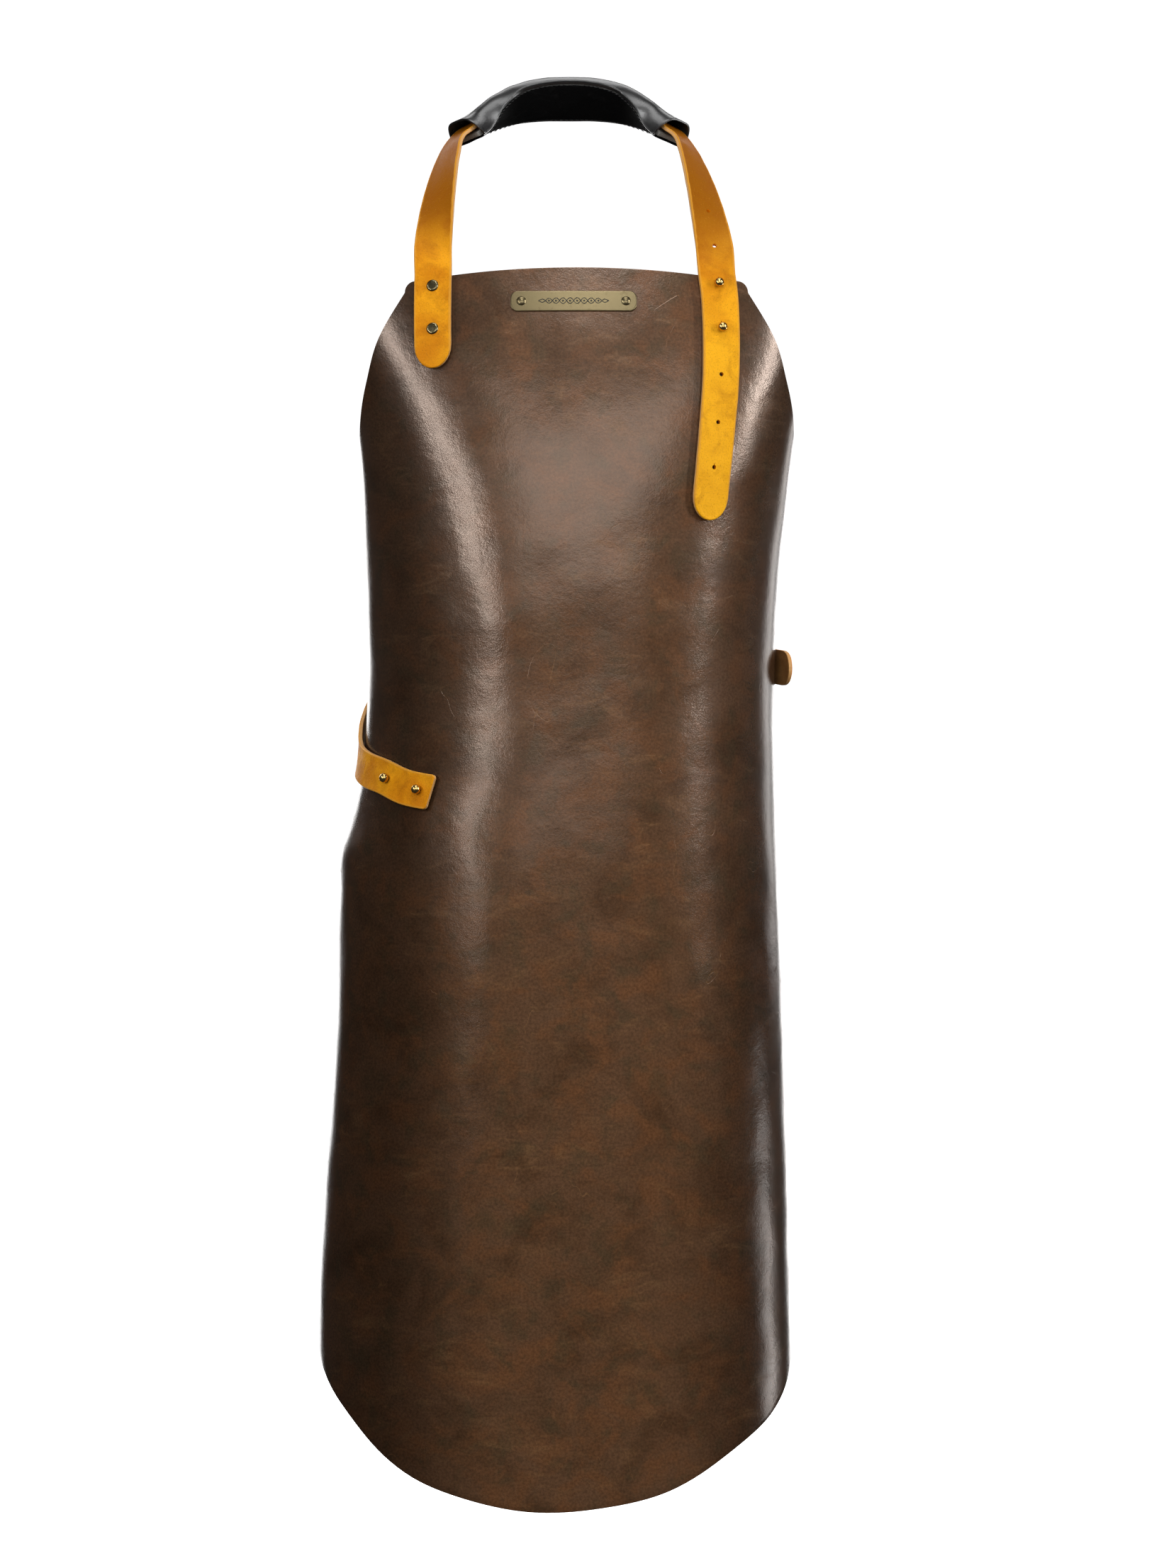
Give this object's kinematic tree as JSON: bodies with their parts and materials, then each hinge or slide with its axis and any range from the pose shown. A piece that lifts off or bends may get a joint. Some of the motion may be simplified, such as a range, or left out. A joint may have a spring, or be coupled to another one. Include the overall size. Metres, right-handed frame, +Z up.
{
  "type": "butcher apron",
  "caption": "Long leather butcher apron with a wrapped bib and skirt, adjustable neck strap with sliding pad, and studded waist belt.",
  "frame": {"origin": "middle of the neck pad's inner face, where the apron hangs on the wearer's neck", "axes": "+Z up the wearer, +X to the right as seen by someone facing the apron, +Y from the apron's front towards the wearer's back"},
  "size_m": [0.339, 0.2347, 1.0144],
  "materials": {
    "panel_leather": "waxed pull-up, brown, scuffed",
    "strap_leather": "waxed tan with pebbled grain",
    "pad_leather": "smooth black, satin",
    "pad_lining": "black suede",
    "pad_foam": "soft foam",
    "antique_brass": "antique, tarnished in the recesses",
    "screw_steel": "dull"
  },
  "bodies": {
    "bib": {"apron_bib": "panel_leather", "name_plate": "antique_brass", "neck_strap_left_end": "strap_leather", "neck_strap_right_end": "strap_leather", "waist_belt": "strap_leather", "plate_rivet_left": "antique_brass", "plate_rivet_right": "antique_brass", "plate_rivet_back_left": "antique_brass", "plate_rivet_back_right": "antique_brass", "neck_rivet_upper": "antique_brass", "neck_rivet_lower": "antique_brass", "neck_rivet_back_upper": "antique_brass", "neck_rivet_back_lower": "antique_brass", "neck_stud_upper": "antique_brass", "neck_stud_lower": "antique_brass", "neck_stud_screw_upper": "screw_steel", "neck_stud_screw_lower": "screw_steel", "belt_stud_front": "antique_brass", "belt_stud_rear": "antique_brass", "belt_stud_screw_front": "screw_steel", "belt_stud_screw_rear": "screw_steel", "belt_rivet_front": "antique_brass", "belt_rivet_rear": "antique_brass", "belt_rivet_back_front": "antique_brass", "belt_rivet_back_rear": "antique_brass"},
    "skirt": {"apron_skirt": "panel_leather"},
    "neck_loop": {"neck_strap_loop": "strap_leather"},
    "neck_pad": {"neck_pad_cover": "pad_leather", "neck_pad_foam": "pad_foam", "neck_pad_lining": "pad_lining"},
    "strap_tail": {"neck_strap_tail": "strap_leather"},
    "belt_tab": {"waist_belt_tab": "strap_leather"}
  },
  "joints": [
    {"name": "neck_loop_fold", "type": "hinge", "parent": "bib", "child": "neck_loop", "pos_m": [0.0038, -0.0871, -0.119], "axis": [1, 0, 0], "range_deg": [-35, 60], "stiffness_Nm_per_rad": 0.5, "springref_deg": 8.59},
    {"name": "neck_pad_slide", "type": "hinge", "parent": "neck_loop", "child": "neck_pad", "pos_m": [0, -0.05265, -0.06156], "axis": [0, 0.76, -0.65], "range_deg": [-2.5, 2.5]},
    {"name": "strap_tail_lift", "type": "hinge", "parent": "bib", "child": "strap_tail", "pos_m": [0.10684, -0.10524, -0.18977], "axis": [-0.962, -0.2702, 0.0404], "range_deg": [0, 60], "stiffness_Nm_per_rad": 0.05, "springref_deg": -2.86},
    {"name": "belt_tab_swing", "type": "hinge", "parent": "bib", "child": "belt_tab", "pos_m": [-0.1454, -0.04531, -0.47989], "axis": [-0.1826, 0.1665, -0.969], "range_deg": [0, 60], "stiffness_Nm_per_rad": 0.08, "springref_deg": -2.86},
    {"name": "skirt_swing", "type": "hinge", "parent": "bib", "child": "skirt", "pos_m": [-0.00406, -0.12473, -0.5224], "axis": [-1, 0, 0], "range_deg": [0, 20], "stiffness_Nm_per_rad": 3, "springref_deg": -7.45}
  ]
}
